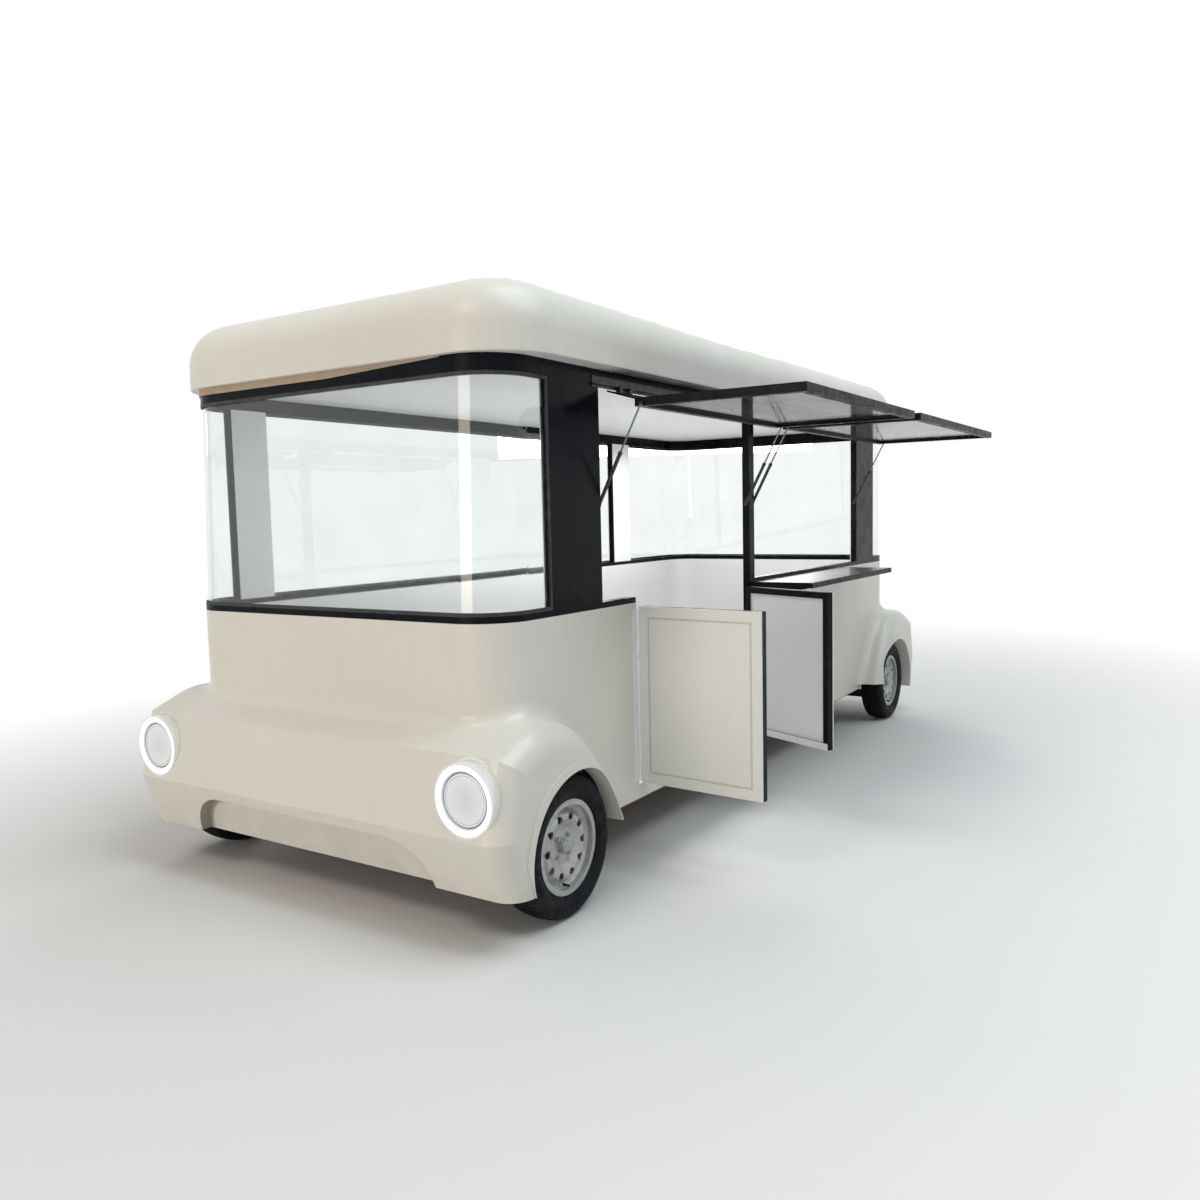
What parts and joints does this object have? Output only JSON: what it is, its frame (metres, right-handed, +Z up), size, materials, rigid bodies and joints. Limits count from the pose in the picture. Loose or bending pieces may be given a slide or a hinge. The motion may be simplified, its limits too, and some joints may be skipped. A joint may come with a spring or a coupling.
{
  "type": "food cart",
  "caption": "Bus-shaped food cart with rounded cream body, steered front wheels, flip-up glazed hatches on gas struts, half-height double door and fixed counter",
  "frame": {"origin": "on the ground, at mid-width of the body and midway between the axles", "axes": "+Z up, -Y towards the nose, +X towards the service side"},
  "size_m": [2.818, 5.04, 2.3899],
  "materials": {
    "gelcoat": "gloss",
    "dark_frame": "satin",
    "dark_band": "gloss",
    "dark_aluminium": "satin",
    "clear_glass": "gloss",
    "white_panel": "satin",
    "red_oxide": "matte",
    "black_steel": "satin",
    "floor_covering": "matte",
    "black_plastic": "matte",
    "bright_metal": "satin",
    "counter_steel": "brushed",
    "lamp_ring": "gloss",
    "lamp_lens": "gloss",
    "tail_red": "gloss",
    "tyre_rubber": "matte",
    "wheel_silver": "satin",
    "hub_iron": "satin",
    "strut_black": "satin",
    "strut_chrome": "polished"
  },
  "bodies": {
    "body": {"chassis": "red_oxide", "floor_deck": "floor_covering", "front_shell": "gelcoat", "rear_shell": "gelcoat", "right_wall": "gelcoat", "left_wall": "gelcoat", "wheel_houses": "black_plastic", "upper_frame": "dark_band", "linings": "white_panel", "front_window": "clear_glass", "rear_window": "clear_glass", "left_window": "clear_glass", "roof_cap": "gelcoat", "lamp_bezels": "gelcoat", "headlight_rings": "lamp_ring", "headlight_lenses": "lamp_lens", "tail_lenses": "tail_red", "leaf_springs": "black_steel", "spring_bolts": "black_steel", "front_axle": "black_steel", "rear_axle": "black_steel", "door_hinges": "bright_metal", "hatch_hardware": "bright_metal", "counter_top": "counter_steel", "counter_frame": "dark_frame"},
    "knuckle_left": {"knuckle_left": "black_steel"},
    "knuckle_right": {"knuckle_right": "black_steel"},
    "tie_rod": {"tie_rod": "black_steel"},
    "wheel_front_left": {"tyre_front_left": "tyre_rubber", "rim_front_left": "wheel_silver", "hub_front_left": "hub_iron"},
    "wheel_front_right": {"tyre_front_right": "tyre_rubber", "rim_front_right": "wheel_silver", "hub_front_right": "hub_iron"},
    "wheel_rear_left": {"tyre_rear_left": "tyre_rubber", "rim_rear_left": "wheel_silver", "hub_rear_left": "hub_iron"},
    "wheel_rear_right": {"tyre_rear_right": "tyre_rubber", "rim_rear_right": "wheel_silver", "hub_rear_right": "hub_iron"},
    "door_front": {"door_front_panel": "gelcoat", "door_front_frame": "dark_aluminium", "door_front_lining": "white_panel", "door_front_hinge": "bright_metal"},
    "door_rear": {"door_rear_panel": "gelcoat", "door_rear_frame": "dark_aluminium", "door_rear_lining": "white_panel", "door_rear_hinge": "bright_metal"},
    "hatch_front": {"hatch_front_frame": "dark_aluminium", "hatch_front_glass": "clear_glass"},
    "hatch_front_strut_a_cylinder": {"hatch_front_strut_a_cylinder": "strut_black"},
    "hatch_front_strut_a_rod": {"hatch_front_strut_a_rod": "strut_chrome"},
    "hatch_front_strut_b_cylinder": {"hatch_front_strut_b_cylinder": "strut_black"},
    "hatch_front_strut_b_rod": {"hatch_front_strut_b_rod": "strut_chrome"},
    "hatch_rear": {"hatch_rear_frame": "dark_aluminium", "hatch_rear_glass": "clear_glass"},
    "hatch_rear_strut_a_cylinder": {"hatch_rear_strut_a_cylinder": "strut_black"},
    "hatch_rear_strut_a_rod": {"hatch_rear_strut_a_rod": "strut_chrome"},
    "hatch_rear_strut_b_cylinder": {"hatch_rear_strut_b_cylinder": "strut_black"},
    "hatch_rear_strut_b_rod": {"hatch_rear_strut_b_rod": "strut_chrome"}
  },
  "joints": [
    {"name": "steer_left", "type": "hinge", "parent": "body", "child": "knuckle_left", "pos_m": [-0.832, -2.05, 0.274], "axis": [0, 0, 1], "range_deg": [-24, 24]},
    {"name": "steer_right", "type": "hinge", "parent": "body", "child": "knuckle_right", "pos_m": [0.832, -2.05, 0.274], "axis": [0, 0, 1], "range_deg": [-24, 24]},
    {"name": "tie_rod_swing", "type": "hinge", "parent": "knuckle_left", "child": "tie_rod", "pos_m": [-0.832, -1.92, 0.165], "axis": [0, 0, 1], "range_deg": [-24, 24]},
    {"name": "wheel_front_left_spin", "type": "hinge", "parent": "knuckle_left", "child": "wheel_front_left", "pos_m": [-0.932, -2.05, 0.274], "axis": [1, 0, 0], "continuous": true},
    {"name": "wheel_front_right_spin", "type": "hinge", "parent": "knuckle_right", "child": "wheel_front_right", "pos_m": [0.932, -2.05, 0.274], "axis": [1, 0, 0], "continuous": true},
    {"name": "wheel_rear_left_spin", "type": "hinge", "parent": "body", "child": "wheel_rear_left", "pos_m": [-0.932, 2.05, 0.274], "axis": [1, 0, 0], "continuous": true},
    {"name": "wheel_rear_right_spin", "type": "hinge", "parent": "body", "child": "wheel_rear_right", "pos_m": [0.932, 2.05, 0.274], "axis": [1, 0, 0], "continuous": true},
    {"name": "door_front_swing", "type": "hinge", "parent": "body", "child": "door_front", "pos_m": [0.894, -1.35, 0.73], "axis": [0, 0, 1], "range_deg": [-26, 94]},
    {"name": "door_rear_swing", "type": "hinge", "parent": "body", "child": "door_rear", "pos_m": [0.894, -0.15, 0.73], "axis": [0, 0, 1], "range_deg": [-66, 24]},
    {"name": "hatch_front_lift", "type": "hinge", "parent": "body", "child": "hatch_front", "pos_m": [0.905, -0.883, 2.02], "axis": [0, 1, 0], "range_deg": [0, 90]},
    {"name": "hatch_front_strut_a_swing", "type": "hinge", "parent": "body", "child": "hatch_front_strut_a_cylinder", "pos_m": [0.872, -1.604, 1.558], "axis": [0, 1, 0], "range_deg": [-34.02, 0]},
    {"name": "hatch_front_strut_a_slide", "type": "slide", "parent": "hatch_front_strut_a_cylinder", "child": "hatch_front_strut_a_rod", "axis": [0.4641, 0, 0.8858], "range_m": [-0.15951, 0]},
    {"name": "hatch_front_strut_b_swing", "type": "hinge", "parent": "body", "child": "hatch_front_strut_b_cylinder", "pos_m": [0.872, -0.162, 1.558], "axis": [0, 1, 0], "range_deg": [-34.02, 0]},
    {"name": "hatch_front_strut_b_slide", "type": "slide", "parent": "hatch_front_strut_b_cylinder", "child": "hatch_front_strut_b_rod", "axis": [0.4641, 0, 0.8858], "range_m": [-0.15951, 0]},
    {"name": "hatch_rear_lift", "type": "hinge", "parent": "body", "child": "hatch_rear", "pos_m": [0.905, 0.763, 2.02], "axis": [0, 1, 0], "range_deg": [0, 90]},
    {"name": "hatch_rear_strut_a_swing", "type": "hinge", "parent": "body", "child": "hatch_rear_strut_a_cylinder", "pos_m": [0.872, -0.078, 1.558], "axis": [0, 1, 0], "range_deg": [-34.02, 0]},
    {"name": "hatch_rear_strut_a_slide", "type": "slide", "parent": "hatch_rear_strut_a_cylinder", "child": "hatch_rear_strut_a_rod", "axis": [0.4641, 0, 0.8858], "range_m": [-0.15951, 0]},
    {"name": "hatch_rear_strut_b_swing", "type": "hinge", "parent": "body", "child": "hatch_rear_strut_b_cylinder", "pos_m": [0.872, 1.604, 1.558], "axis": [0, 1, 0], "range_deg": [-34.02, 0]},
    {"name": "hatch_rear_strut_b_slide", "type": "slide", "parent": "hatch_rear_strut_b_cylinder", "child": "hatch_rear_strut_b_rod", "axis": [0.4641, 0, 0.8858], "range_m": [-0.15951, 0]}
  ],
  "couplings": [
    {"joint": "steer_right", "follows": "steer_left", "ratio": 1},
    {"joint": "tie_rod_swing", "follows": "steer_left", "ratio": -1},
    {"joint": "hatch_front_strut_a_swing", "follows": "hatch_front_lift", "ratio": -0.37793},
    {"joint": "hatch_front_strut_a_slide", "follows": "hatch_front_lift", "m_per_rad": -0.10148},
    {"joint": "hatch_front_strut_b_swing", "follows": "hatch_front_lift", "ratio": -0.37793},
    {"joint": "hatch_front_strut_b_slide", "follows": "hatch_front_lift", "m_per_rad": -0.10148},
    {"joint": "hatch_rear_strut_a_swing", "follows": "hatch_rear_lift", "ratio": -0.37793},
    {"joint": "hatch_rear_strut_a_slide", "follows": "hatch_rear_lift", "m_per_rad": -0.10148},
    {"joint": "hatch_rear_strut_b_swing", "follows": "hatch_rear_lift", "ratio": -0.37793},
    {"joint": "hatch_rear_strut_b_slide", "follows": "hatch_rear_lift", "m_per_rad": -0.10148}
  ]
}
